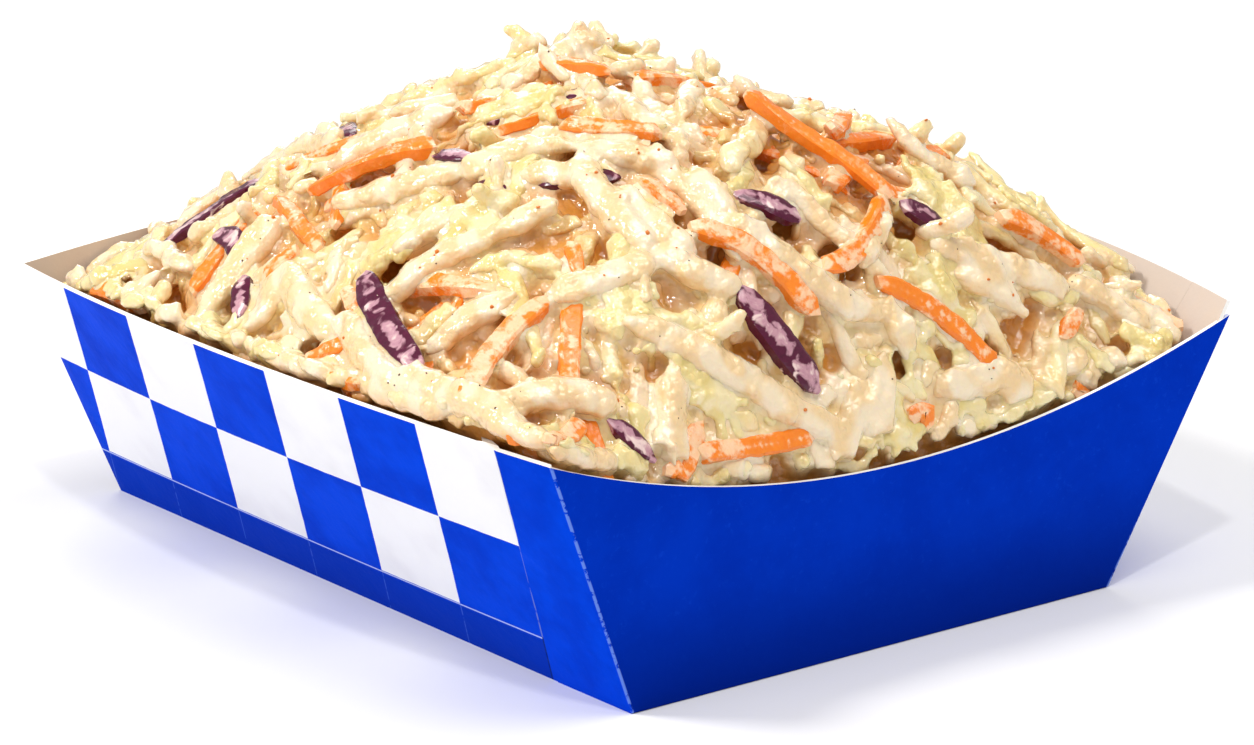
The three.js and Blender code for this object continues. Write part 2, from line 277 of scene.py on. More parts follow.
def add_checks(tree, place, ink, along, up):
    """White checks on the ink, which is darkened below them as painted shade, with the hairline under
    their lowest row, the scores that run on from the columns down to the base, and the cut edge of
    the glued tab, with a painted shadow along that edge below the checks."""
    beside_tab = maths(tree, "LESS_THAN", along, TAB_COLUMN)
    # Painted shade: the ink darkens below the lowest row of checks, towards the base, beside the tab.
    lower = maths(tree, "MULTIPLY", part_of(tree, up, 0.02, -0.06, 0.85), beside_tab)
    ink = mix_colours(tree, lower, ink, BLUE_LOWER_SHADE)
    wander = maths(tree, "MULTIPLY_ADD", noise(tree, place, 260.0), 0.012, -0.006)
    column = maths(tree, "FLOOR", maths(tree, "ADD", along, wander))
    row = maths(tree, "FLOOR", maths(tree, "MINIMUM", maths(tree, "ADD", up, wander), 1.99))
    even = maths(tree, "SUBTRACT", 1.0, maths(tree, "PINGPONG", maths(tree, "ADD", column, row), 1.0))
    before_tab = maths(tree, "LESS_THAN", column, TAB_COLUMN - 0.5)
    white = product(tree, even, before_tab, maths(tree, "GREATER_THAN", row, -0.5))
    dusty = mix_colours(tree, ramp(tree, noise(tree, place, 60.0, 4.0), 0.45, 0.8), CHECK_WHITE, CHECK_DUSTY)
    breaks = ramp(tree, noise(tree, place, 500.0), 0.36, 0.5)
    lowest = maths(tree, "LESS_THAN", up, 0.0)
    foot = near_line(tree, up, -0.014, 0.008)
    ink = mix_colours(tree, product(tree, foot, beside_tab, 0.75), ink, HAIRLINE)
    score = near_line(tree, maths(tree, "FRACT", maths(tree, "ADD", along, 0.5)), 0.5, 0.007)
    ink = mix_colours(tree, product(tree, score, lowest, breaks, 0.4), ink, SCORE_PALE)
    tab = near_line(tree, along, TAB_COLUMN, 0.008)
    above = maths(tree, "SUBTRACT", 1.0, lowest)
    ink = mix_colours(tree, product(tree, tab, above, breaks, 0.6), ink, TAB_PALE)
    ink = mix_colours(tree, product(tree, tab, lowest, 0.8), ink, BLUE_TAB_SHADOW)
    return mix_colours(tree, white, ink, dusty)


def plain_board(name, colour, stain):
    """Unprinted board: warm white with a soft grain, and a little stained by the dressing."""
    mat, tree, shader = material(name)
    place = coordinates(tree)
    clouds = noise(tree, place, 55.0, 4.0, 0.6)
    fibre = noise(tree, place, 1100.0, 3.0, 0.7)
    shade = mix_colours(tree, ramp(tree, clouds, 0.4, 0.8), colour, stain)
    fill_inputs(
        tree, shader, Base_Color=shade, Roughness=PLAIN_ROUGHNESS, Specular_IOR_Level=PLAIN_SPECULAR,
    )
    under = bump(tree, shader, fibre, 0.00005, 0.6)
    bump(tree, shader, clouds, 0.0005, 0.3, under)
    return mat


def tab_place(column, level):
    """Where a column of a long wall's grid stands, and how far it is lifted: two columns meet
    at the edge of the glued tab, which stands proud of the wall and ends at the fold."""
    edge = TAB_EDGE[0] + (TAB_EDGE[1] - TAB_EDGE[0]) * level
    last = WALL_COLUMNS - TAB_COLUMNS - 1
    if column <= last:
        return column / last * (edge - TAB_STEP), 0.0
    share = (column - last - 1) / TAB_COLUMNS
    return edge + (1 - edge) * share, TAB_LIFT * (1 - share)


def wall_grid(wall, long_wall):
    """A grid laid on a wall's outer face, with the print's UV."""
    grid = board_grid(WALL_COLUMNS, WALL_ROWS)
    mesh = grid.data
    out = WALLS[wall][2]
    places = []
    for vertex in mesh.vertices:
        column, level = round((vertex.co.x + 1) / 2 * WALL_COLUMNS), (vertex.co.y + 1) / 2
        t, lift = tab_place(column, level) if long_wall else (column / WALL_COLUMNS, 0.0)
        places.append(print_place(t, level))
        vertex.co = wall_point(wall, t, level) + Vector((out[0] * lift, out[1] * lift, 0))
    uvs = mesh.uv_layers.active.data
    for loop in mesh.loops:
        uvs[loop.index].uv = places[loop.vertex_index]
    return grid


def board_materials():
    """Print with checks, plain print darkened as painted shade, then the inside and the cut edge for each of
    them.
    """
    prints = [printed_board("printed board, " + name, name == "checked") for name in ("checked", "plain")]
    inside = plain_board("inside of the board", BOARD_WHITE, BOARD_STAIN)
    edge = plain_board("cut edge", EDGE_WHITE, EDGE_STAIN)
    return [*prints, inside, inside, edge, edge]


BOARDS = board_materials()


def give_board(sheet, index):
    for mat in BOARDS:
        sheet.data.materials.append(mat)
    for face in sheet.data.polygons:
        face.material_index = index


def board_grid(columns, rows):
    deselect()
    bpy.ops.mesh.primitive_grid_add(x_subdivisions=columns, y_subdivisions=rows, size=2)
    return bpy.context.object


def flat_sheets():
    """The four walls and the floor, without thickness."""
    sheets = []
    for wall in WALLS:
        long_wall = wall in ("left", "right")
        sheet = wall_grid(wall, long_wall)
        give_board(sheet, 0 if long_wall else 1)
        sheets.append(sheet)
    floor = board_grid(WALL_COLUMNS, WALL_COLUMNS)
    for vertex in floor.data.vertices:
        x, y = vertex.co.x, vertex.co.y
        vertex.co = (BASE_MIDDLE[0] + BASE_HALF[0] * x, BASE_MIDDLE[1] + BASE_HALF[1] * y, 0)
    give_board(floor, 1)
    return [*sheets, floor]


def select_folds(mesh):
    faces_of = {}
    for face in mesh.polygons:
        for key in face.edge_keys:
            faces_of.setdefault(key, []).append(face.normal)
    for edge_line in mesh.edges:
        sides = faces_of[tuple(sorted(edge_line.vertices))]
        edge_line.select = len(sides) == 2 and sides[0].dot(sides[1]) < FOLD_COSINE


def mark_corners(mesh):
    """Stores each point's distance to the nearest corner fold, for the worn print."""
    ends = [(wall, t) for wall in ("left", "right") for t in (0, 1)]
    corners = [[wall_point(wall, t, level) for level in (0, 1)] for wall, t in ends]
    fold = mesh.attributes.new("fold", "FLOAT", "POINT")
    for vertex, value in zip(mesh.vertices, fold.data):
        nearest = [geometry.intersect_point_line(vertex.co, *corner)[0] for corner in corners]
        value.value = min((vertex.co - point).length for point in nearest)


def make_tray():
    sheets = flat_sheets()
    deselect()
    for sheet in sheets:
        sheet.select_set(True)
    bpy.context.view_layer.objects.active = sheets[-1]
    bpy.ops.object.join()
    tray = bpy.context.object
    tray.name = "paperboard_tray"

    bpy.ops.object.mode_set(mode="EDIT")
    bpy.ops.mesh.select_all(action="SELECT")
    bpy.ops.mesh.remove_doubles(threshold=0.00002)
    bpy.ops.mesh.normals_make_consistent(inside=False)
    bpy.ops.mesh.select_all(action="DESELECT")
    bpy.ops.object.mode_set(mode="OBJECT")
    select_folds(tray.data)
    bpy.ops.object.mode_set(mode="EDIT")
    bpy.ops.mesh.select_mode(type="EDGE")
    bpy.ops.mesh.bevel(offset=FOLD_RADIUS, segments=FOLD_SEGMENTS)
    bpy.ops.object.mode_set(mode="OBJECT")

    thicken = tray.modifiers.new("thickness", "SOLIDIFY")
    thicken.thickness = BOARD
    thicken.offset = -1
    thicken.use_even_offset = True
    thicken.material_offset = 2
    thicken.material_offset_rim = 4
    apply_modifiers(tray)
    bpy.ops.object.shade_smooth_by_angle(angle=math.radians(SMOOTH_UNDER))
    mark_corners(tray.data)
    return tray


tray = make_tray()
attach(tray, "root")
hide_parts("tray")

# ---------------------------------------------------------------------------------------
# Salad bed. Shredded cabbage in creamy dressing, served as one heap that follows the curved
# front wall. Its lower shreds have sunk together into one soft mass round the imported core,
# and the dressing rises from it into the angles where the upper shreds cross.
# ---------------------------------------------------------------------------------------
# The heap's surface: a rounded mound, filled in behind the curved front wall, let down along
# that wall's edge, with hollows (x, y, depth, spread) and lumps (x, y, rise).
HEAP_REACH = (0.0815, 0.08175)
HEAP_FOOT = 0.0525
HEAP_RISE = 0.040
HEAP_SKEW = (0.08, 0.12)
HEAP_ROUND = (1.8, 2.3)
DIP_FILL = {"drop": 0.017, "spread": 0.015, "y": -0.082}
FRONT_DROP = {"drop": 0.0058, "x": -0.010, "reach": 0.068, "y": -0.0795, "spread": 0.0045}
HOLLOWS = [(-0.078, 0.084, 0.012, 0.015), (0.080, -0.084, 0.009, 0.020), (0.078, 0.084, 0.003, 0.015)]
LUMPS = [(-0.055, 0.064, -0.002), (0.001, 0.007, 0.004), (0.016, -0.009, -0.003), (0.045, -0.042, 0.003)]
LUMP_SPREAD = 0.013
CORE_SINK = 0.0056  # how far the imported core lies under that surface
CORE_DEEPEST = 0.0065
STEEPEST = 0.45
WALL_PLAN = 0.00085  # a leaning wall's thickness in plan
WALL_GAP = 0.0006
OVERHANG = 0.0024  # how far a shred may lie over a wall's edge
OVERHANG_FROM = 0.0012  # once it is this far above the edge
STEP = 0.0012  # between the points of a shred's line
CELL = 0.0006  # the pile's grid
COARSE = 3  # cells between the places that are tried
FIT = 0.0024  # a shred is left out where its top would pass the ceiling by more than this
SETTLE = 0.4  # a shred sinks a little into the dressing of those it lies on
rng = np.random.default_rng(2041)


def bell(x, y, spread):
    return np.exp(-(x * x + y * y) / (2 * spread * spread))


def heap_height(x, y):
    """Height of the heap's outer surface."""
    u = np.clip(x / HEAP_REACH[0], -1, 1)
    v = np.clip(y / HEAP_REACH[1], -1, 1)
    across = 1 - np.abs(u + HEAP_SKEW[0] * (1 - u * u)) ** HEAP_ROUND[0]
    along = 1 - np.abs(v + HEAP_SKEW[1] * (1 - v * v)) ** HEAP_ROUND[1]
    z = HEAP_FOOT + HEAP_RISE * across * along
    dip = np.maximum(0, 1 - (x / RIM_HALF[0]) ** 2)
    z = z - DIP_FILL["drop"] * dip * np.exp(-(((y - DIP_FILL["y"]) / DIP_FILL["spread"]) ** 2))
    along_front = np.maximum(0, 1 - ((x - FRONT_DROP["x"]) / FRONT_DROP["reach"]) ** 2)
    near_front = np.exp(-(((y - FRONT_DROP["y"]) / FRONT_DROP["spread"]) ** 2))
    z = z - FRONT_DROP["drop"] * along_front * near_front
    for at_x, at_y, drop, spread in HOLLOWS:
        z = z - drop * bell(x - at_x, y - at_y, spread)
    for at_x, at_y, rise in LUMPS:
        z = z + rise * bell(x - at_x, y - at_y, LUMP_SPREAD)
    return z


def heap_normal(x, y):
    reach = 0.0015
    slope_x = (heap_height(x + reach, y) - heap_height(x - reach, y)) / (2 * reach)
    slope_y = (heap_height(x, y + reach) - heap_height(x, y - reach)) / (2 * reach)
    normal = np.stack([-slope_x, -slope_y, np.ones_like(slope_x)], -1)
    return normal / np.linalg.norm(normal, axis=-1, keepdims=True)


def steepness(x, y):
    return np.maximum(heap_normal(x, y)[..., 2], STEEPEST)


def core_height(x, y):
    return heap_height(x, y) - np.minimum(CORE_SINK / steepness(x, y), CORE_DEEPEST)


def keep_inside(x, y, z, room):
    """Moves points that would enter the walls back to their inner side. Above a wall's edge
    they may lie over it a little."""
    room = room + WALL_PLAN + WALL_GAP
    held = []
    for axis, walls in enumerate((("left", "right"), ("front", "back"))):
        place, across = ((x, y), (y, x))[axis]
        bulge = np.clip(1 - (across / RIM_HALF[1 - axis]) ** 2, 0, 1)
        edges = []
        for wall, way in zip(walls, (-1, 1)):
            bow, rise, lift = WALLS[wall][3:]
            edge_z = RIM_HEIGHT + lift + rise * bulge
            level = np.clip(z / edge_z, 0, 1)
            over = np.clip((z - edge_z) / OVERHANG_FROM, 0, 1)
            foot = BASE_MIDDLE[axis] + way * BASE_HALF[axis]
            rim = way * (RIM_HALF[axis] + bow * bulge)
            edges.append(foot * (1 - level) + rim * level - way * (room - over * OVERHANG))
        held.append(np.clip(place, *edges))
    return held


# The pile: the height that each place has reached so far.
grid_x = np.arange(-0.0885, 0.0885, CELL)
grid_y = np.arange(-0.0865, 0.0865, CELL)
pile = core_height(*np.meshgrid(grid_x, grid_y))
heap_grid = heap_height(*np.meshgrid(grid_x, grid_y))
coarse_x, coarse_y = (grid[::COARSE, ::COARSE] for grid in np.meshgrid(grid_x, grid_y))
held_x, held_y = keep_inside(coarse_x, coarse_y, heap_grid[::COARSE, ::COARSE], 0.001)
walled = (held_x != coarse_x) | (held_y != coarse_y)


def cells(x, y):
    column = np.clip(np.rint((x - grid_x[0]) / CELL), 0, len(grid_x) - 1).astype(int)
    row = np.clip(np.rint((y - grid_y[0]) / CELL), 0, len(grid_y) - 1).astype(int)
    return row, column


def smoothed(values, passes=2):
    for _ in range(passes):
        padded = np.concatenate([values[:1], values, values[-1:]])
        values = (padded[:-2] + 2 * padded[1:-1] + padded[2:]) / 4
    return values


def sideways(x, y):
    """Which way is to the left of a line, in plan."""
    dx, dy = np.gradient(x), np.gradient(y)
    span = np.hypot(dx, dy) + 1e-9
    return -dy / span, dx / span


def plan_line(x, y, heading, length, bend, wave, wave_length):
    """Plan of a shred through a place: bent by bend radians a metre, and wavy."""
    count = max(6, int(length / STEP))
    s = np.linspace(-length / 2, length / 2, count)
    turn = heading + bend * s + wave * np.sin(2 * np.pi * s / wave_length + rng.uniform(0, 6.28))
    step = length / (count - 1)
    line_x = np.cumsum(np.cos(turn)) * step
    line_y = np.cumsum(np.sin(turn)) * step
    middle = count // 2
    return x + line_x - line_x[middle], y + line_y - line_y[middle]


def rest(x, y, half_width, half_thick, limp):
    """How far over the heap's surface a shred lies on the pile, at each point of its middle
    line, where it spans the dips that it is too stiff to follow."""
    side_x, side_y = sideways(x, y)
    lanes = []
    for share in (-0.7, 0, 0.7):
        cell = cells(x + side_x * share * half_width, y + side_y * share * half_width)
        lanes.append(pile[cell] - heap_grid[cell])
    over = np.max(lanes, axis=0)
    s = np.concatenate([[0], np.cumsum(np.hypot(np.diff(x), np.diff(y)))])
    sag = (s[:, None] - s[None, :]) ** 2 / (2 * limp)
    over = smoothed((over[None, :] - sag).max(axis=1), 3)
    return over + half_thick * SETTLE / steepness(x, y)


def deposit(x, y, z, half_width, half_thick):
    """Raises the pile by a shred that has been laid."""
    fine = np.linspace(0, len(x) - 1, len(x) * 3)
    x, y, z = (np.interp(fine, np.arange(len(x)), values) for values in (x, y, z))
    side_x, side_y = sideways(x, y)
    over = z - heap_height(x, y)
    for lane in np.linspace(-0.9, 0.9, 9):
        cell = cells(x + side_x * lane * half_width, y + side_y * lane * half_width)
        np.maximum.at(pile, cell, heap_grid[cell] + over + half_thick * math.sqrt(1 - lane * lane))


# Each kind of shred: flat is its thickness for its width, limp the tightest radius that it
# sags to, press how far it can be pushed into the pile, square how square its section is,
# point and blunt the length and width of its tapered ends for its width, lumpy how uneven its
# surface is, beads how many beads of dressing hang on a metre of it, and roll how freely it
# turns about its own line.
KINDS = {
    "rib": {
        "width": (0.0044, 0.0062), "flat": 0.74, "length": (0.026, 0.058), "limp": 0.045, "press": 0.0,
        "bend": 14, "wave": 0.14, "square": 2.5, "point": (0.5, 1.9), "blunt": 0.3, "lumpy": 0.09,
        "beads": 280,
    },
    "leaf": {
        "width": (0.0034, 0.0050), "flat": 0.72, "length": (0.012, 0.030), "limp": 0.016, "press": 0.0008,
        "bend": 34, "wave": 0.40, "square": 2.2, "point": (0.4, 1.1), "blunt": 0.35, "lumpy": 0.15,
        "beads": 300,
    },
    "curl": {
        "width": (0.0030, 0.0042), "flat": 0.80, "length": (0.006, 0.013), "limp": 0.006, "press": 0.0018,
        "bend": 70, "wave": 0.5, "square": 2.1, "point": (0.4, 0.9), "blunt": 0.4, "lumpy": 0.18,
        "beads": 240,
    },
    "green": {
        "width": (0.0028, 0.0042), "flat": 0.60, "length": (0.010, 0.024), "limp": 0.014, "press": 0.0010,
        "bend": 45, "wave": 0.7, "square": 2.2, "point": (0.4, 0.9), "blunt": 0.4, "lumpy": 0.28,
        "beads": 420,
    },
    "carrot": {
        "width": (0.0028, 0.0038), "flat": 0.75, "length": (0.014, 0.032), "limp": 0.110, "press": 0.0,
        "bend": 8, "wave": 0.05, "square": 12, "point": (0.3, 1.6), "blunt": 0.5, "lumpy": 0.07,
        "beads": 0,
    },
    "purple": {
        "width": (0.0034, 0.0048), "flat": 0.42, "length": (0.012, 0.024), "limp": 0.080, "press": 0.0,
        "bend": 14, "wave": 0.10, "square": 6, "point": (0.9, 2.2), "blunt": 0.2, "lumpy": 0.05,
        "beads": 0, "roll": 0.3,
    },
}
PIECE_OF = {"curl": "leaf"}
CRISP = ("carrot", "purple")
ROUND_SECTION = np.arange(10) * np.pi / 5 + np.pi / 10
CORNERS = (np.arange(4) + 0.5) * np.pi / 2
CUT_SECTION = np.array([corner + side for corner in CORNERS for side in (-0.15, 0.15)])


def new_store():
    """The shells of one kind, with each one's line, tone and half width for its material."""
    return {"points": [], "faces": [], "count": 0, "spine": [], "tone": [], "half": []}


shells = {kind: new_store() for kind in ("bed", *KINDS)}
BEAD_RADIUS = (0.0007, 0.0014)
END_SLANT = 0.7
ball = bmesh.new()
bmesh.ops.create_icosphere(ball, subdivisions=1, radius=1)
BALL = np.array([vertex.co for vertex in ball.verts])
BALL_FACES = np.array([[vertex.index for vertex in face.verts] for face in ball.faces])
ball.free()


def add_points(store, points, faces):
    store["points"].append(points)
    store["faces"].extend((np.asarray(faces) + store["count"]).tolist())
    store["count"] += len(points)


def add_ball(store, place, radius, uneven=(0.85, 1.15), flat=1.0):
    """A small uneven ball."""
    lumpy = rng.uniform(*uneven, (len(BALL), 1))
    add_points(store, place + BALL * lumpy * flat * radius, BALL_FACES)


def note(store, spine, tone, half_width):
    """Keeps what paint needs of a shred."""
    store["spine"].append(spine)
    store["tone"].append(np.full(len(spine), tone))
    store["half"].append(np.full(len(spine), half_width))


def add_shell(store, spine, ups, half_width, half_thick, shape, crisp):
    """A closed shred along its spine: an uneven rounded section, tapered to its ends."""
    count = len(spine)
    ahead = np.gradient(spine, axis=0)
    ahead /= np.maximum(np.linalg.norm(ahead, axis=1, keepdims=True), 1e-9)
    side = np.cross(ups, ahead)
    side /= np.linalg.norm(side, axis=1, keepdims=True)
    up = np.cross(ahead, side)
    s = np.concatenate([[0], np.cumsum(np.linalg.norm(np.diff(spine, axis=0), axis=1))])
    spans = 2 * half_width * rng.uniform(*shape["point"], 2)
    nose = np.clip(np.minimum(s / spans[0], (s[-1] - s) / spans[1]), 0, 1)
    blunt = shape["blunt"]
    taper = blunt + (1 - blunt) * np.sqrt(1 - (1 - nose) ** 2)
    lumpy = shape["lumpy"]
    waves = 1 + rng.uniform(-0.15, 0.15) * np.linspace(-1, 1, count)
    waves += 0.6 * lumpy * np.sin(s / rng.uniform(0.0007, 0.0012) + rng.uniform(0, 6))
    angles = CUT_SECTION if crisp else ROUND_SECTION
    sides = len(angles)
    uneven = waves[:, None] * (1 + 1.6 * lumpy * smoothed(rng.uniform(-1, 1, (count, sides)), 1))
    if crisp:
        uneven = np.repeat(waves[:, None], sides, 1)
    cos, sin = np.cos(angles), np.sin(angles)
    radius = (np.abs(cos) ** shape["square"] + np.abs(sin) ** shape["square"]) ** (-1 / shape["square"])
    wide = (cos * radius) * half_width * taper[:, None] * uneven
    tall = (sin * radius) * half_thick * taper[:, None] * uneven
    ring = spine[:, None, :] + wide[:, :, None] * side[:, None, :] + tall[:, :, None] * up[:, None, :]
    tips = np.stack([spine[0] - ahead[0] * half_width * 0.15, spine[-1] + ahead[-1] * half_width * 0.15])
    if crisp:
        slant = rng.uniform(-END_SLANT, END_SLANT, 2)
        for end, row in ((0, 0), (1, -1)):
            ring[row] += ahead[row] * (wide[row] * slant[end])[:, None]
            tips[end] = ring[row].mean(axis=0)
    faces = []
    rows = np.arange(count - 1) * sides
    for i in range(sides):
        j = (i + 1) % sides
        faces.extend(np.stack([rows + i, rows + j, rows + j + sides, rows + i + sides], 1).tolist())
    start = store["count"]
    add_points(store, np.concatenate([ring.reshape(-1, 3), tips]), faces)
    first, last = start + count * sides, start + (count - 1) * sides
    for i in range(sides):
        j = (i + 1) % sides
        store["faces"].append([first, start + j, start + i])
        store["faces"].append([first + 1, last + i, last + j])
    for _ in range(int(shape["beads"] * s[-1])):
        at = rng.integers(0, count)
        angle = rng.uniform(-0.3, np.pi + 0.3)
        out = side[at] * math.cos(angle) * half_width + up[at] * math.sin(angle) * half_thick
        place, radius = spine[at] + out * taper[at] * 0.88, rng.uniform(*BEAD_RADIUS)
        place[:2] = keep_inside(place[0], place[1], place[2] - radius, radius)
        add_ball(store, place, radius)


def lay_shred(kind, x, y, width, proud, piece=None, tip=0.0, tone=None):
    """Lays one shred on the pile along a line in plan, pressed down until its top is no more
    than proud above the heap. tip is how far its far end stands up."""
    shape = KINDS[kind]
    half_width = width / 2
    half_thick = half_width * shape["flat"]
    z = heap_height(x, y)
    for _ in range(3):
        x, y = keep_inside(x, y, z - half_thick, half_width)
        over = rest(x, y, half_width, half_thick, shape["limp"])
        z = heap_height(x, y) + np.minimum(over, proud - half_thick)
    x, y = keep_inside(x, y, z - half_thick, half_width)
    share = np.linspace(-1, 1, len(x))
    z = z + tip * np.clip(share, 0, 1) ** 2
    deposit(x, y, z, half_width, half_thick)
    spine = np.stack([x, y, z], 1)
    roll = (rng.uniform(-0.35, 0.35) + rng.uniform(-0.4, 0.4) * share) * shape.get("roll", 1.0)
    side_x, side_y = sideways(x, y)
    across = np.stack([side_x, side_y, np.zeros_like(side_x)], 1)
    ups = heap_normal(x, y) * np.cos(roll)[:, None] + across * np.sin(roll)[:, None]
    store = shells[piece or PIECE_OF.get(kind, kind)]
    add_shell(store, spine, ups, half_width, half_thick, shape, kind in CRISP)
    note(store, spine, rng.uniform() if tone is None else tone, half_width)


def lack(ceiling):
    """How much each part of the heap still lacks up to a ceiling under its surface."""
    missing = np.clip(heap_grid - ceiling - pile, 0, 0.006)[::COARSE, ::COARSE] ** 2
    missing[walled] = 0
    return missing


def open_spots(ceiling, tries):
    """Places drawn from where the heap lacks most, with any heading."""
    chance = np.cumsum(lack(ceiling).ravel())
    spots = np.searchsorted(chance, rng.uniform(0, chance[-1], tries))
    return list(zip(coarse_x.ravel()[spots], coarse_y.ravel()[spots], rng.uniform(0, np.pi, tries)))


WALL_TURNS = ("front", "front", "front", "left", "left", "right", "back")
WAVE_LENGTH = (0.012, 0.024)
PEAK_COST = 0.3  # what a bump under a shred counts for against its mean height
MOVE_COST = 0.5  # and how far the walls push it aside
TIP_RISE = (0.002, 0.0045)


def wall_spots(ceiling, tries):
    """Places just inside the rim at any height, with headings close to the way its wall runs."""
    spots = []
    for wall in rng.choice(WALL_TURNS, tries):
        t = rng.uniform(0.02, 0.97)
        place, ahead = wall_point(wall, t, 1), wall_point(wall, t + 0.01, 1)
        out = WALLS[wall][2]
        inset = rng.uniform(0.0010, 0.0060)
        heading = math.atan2(ahead.y - place.y, ahead.x - place.x) + rng.normal(0, 0.5)
        spots.append((place.x - out[0] * inset, place.y - out[1] * inset, heading))
    return spots


def scatter(kinds, count, ceiling, piece=None, tips=0.0, shorten=1.0, find=open_spots, tries=8):
    """Lays many shreds, each at the one of some tried places where it lies lowest. A ceiling
    under the heap's surface limits them, and some of them have a far end that stands up."""
    for number in range(count):
        kind = kinds[number % len(kinds)]
        shape = KINDS[kind]
        width = rng.uniform(*shape["width"])
        length = rng.uniform(*shape["length"]) * shorten
        best = None
        for x, y, heading in find(ceiling, tries):
            bend, wave = rng.uniform(-1, 1) * shape["bend"], rng.uniform(0, 1) * shape["wave"]
            line_x, line_y = plan_line(x, y, heading, length, bend, wave, rng.uniform(*WAVE_LENGTH))
            held_x, held_y = keep_inside(line_x, line_y, heap_height(line_x, line_y), width / 2)
            moved = np.hypot(held_x - line_x, held_y - line_y).mean()
            over = rest(held_x, held_y, width / 2, width / 2 * shape["flat"], shape["limp"])
            height = over.mean() + PEAK_COST * over.max() + MOVE_COST * moved
            if best is None or height < best[0]:
                best = (height, np.percentile(over, 75), held_x, held_y)
        if best[1] + width / 2 * shape["flat"] > FIT + shape["press"] - ceiling:
            continue
        tip = rng.uniform(*TIP_RISE) if rng.uniform() < tips else 0.0
        lay_shred(kind, *best[2:], width, FIT, piece, tip=tip)


CURD_RADIUS = (0.0010, 0.0018)


def lay_curd(kind, x, y, radius, proud):
    """A curd of dressing on the pile: a small uneven ball."""
    z = float(heap_height(x, y))
    for _ in range(3):
        x, y = (float(place) for place in keep_inside(x, y, z - radius, radius))
        z = min(pile[cells(x, y)] + radius * 0.4, float(heap_height(x, y)) + proud - radius)
    x, y = (float(place) for place in keep_inside(x, y, z - radius, radius))
    store = shells[kind]
    add_ball(store, np.array([x, y, z]), radius)
    note(store, np.array([[x, y, z]]), rng.uniform(), radius)
    reach = np.arange(-2, 3) * CELL
    across, along = np.meshgrid(reach, reach)
    over = radius * radius - across * across - along * along
    near = over > 0
    cell = cells(x + across[near], y + along[near])
    np.maximum.at(pile, cell, z + np.sqrt(over[near]))


def scatter_curds(count, ceiling):
    for x, y, _ in open_spots(ceiling, count):
        kind = "leaf" if rng.uniform() < 0.7 else "green"
        lay_curd(kind, x, y, rng.uniform(*CURD_RADIUS), FIT - ceiling)


CORE_SIDES = 72
CORE_SQUARE = 9
CORE_EDGE = 0.09
CORE_ROOM = 0.0014
CORE_RINGS = (0.04, 0.16, 0.3, 0.44, 0.58, 0.7, 0.8, 0.88, 0.95, 1.0)  # shares of the way out
CORE_LEVELS = (0.75, 0.5, 0.25, 0.0)  # and of the way down along the walls


def core_shell():
    """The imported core: the heap's surface let down, and carried to the tray's floor."""
    angles = np.arange(CORE_SIDES) * 2 * np.pi / CORE_SIDES
    cos, sin = np.cos(angles), np.sin(angles)
    square = (np.abs(cos) ** CORE_SQUARE + np.abs(sin) ** CORE_SQUARE) ** (-1 / CORE_SQUARE)
    edge_x, edge_y = cos * square * CORE_EDGE, sin * square * CORE_EDGE
    rings = []
    for share in CORE_RINGS:
        x, y = edge_x * share, edge_y * share
        x, y = keep_inside(x, y, core_height(x, y), CORE_ROOM)
        rings.append(np.stack([x, y, core_height(x, y)], 1))
    rim = rings[-1]
    for level in CORE_LEVELS:
        z = rim[:, 2] * level + (BOARD + WALL_GAP) * (1 - level)
        x, y = keep_inside(rim[:, 0], rim[:, 1], z, CORE_ROOM)
        rings.append(np.stack([x, y, z], 1))
    top = [0, 0, float(core_height(np.array(0.0), np.array(0.0)))]
    under = [*BASE_MIDDLE, BOARD + WALL_GAP]
    last = (len(rings) - 1) * CORE_SIDES
    peak = len(rings) * CORE_SIDES
    faces = []
    caps = []
    for i in range(CORE_SIDES):
        j = (i + 1) % CORE_SIDES
        for a in range(0, last, CORE_SIDES):
            faces.append([a + i, a + CORE_SIDES + i, a + CORE_SIDES + j, a + j])
        caps.extend([[peak, i, j], [peak + 1, last + j, last + i]])
    add_points(shells["bed"], np.concatenate([*rings, [top, under]]), faces)
    shells["bed"]["faces"].extend(caps)


core_shell()
# Each layer: its kinds in turn, how many are tried, and how far their ceiling lies under the
# heap's surface.
scatter(["rib", "leaf"], 60, 0.0056, "bed", find=wall_spots)
scatter(["rib", "leaf"], 120, 0.0056, "bed")
scatter(["carrot"], 20, 0.0046)
scatter(["curl"], 160, 0.0048, "bed")

# ---------------------------------------------------------------------------------------
# Shredded vegetables. Pale ribs and fine shreds of white cabbage, frilly yellow-green leaf,
# cut carrot and strips of purple cabbage, laid on the bed one over another.
# ---------------------------------------------------------------------------------------
scatter(["rib", "leaf", "rib", "leaf", "green", "rib", "carrot"], 220, 0.0042)
scatter(["leaf", "curl", "green", "curl", "carrot"], 300, 0.0036, shorten=0.8)
scatter(["rib", "leaf", "rib", "green", "carrot"], 140, 0.0030, shorten=0.8, find=wall_spots)
scatter(["leaf", "rib", "curl", "green", "carrot"], 180, 0.0012, shorten=0.6, find=wall_spots)
scatter_curds(900, 0.0042)
scatter(["purple", "carrot", "carrot", "carrot"], 30, 0.0016)
scatter(["rib", "rib", "leaf", "rib", "rib", "green"], 150, 0.0008)

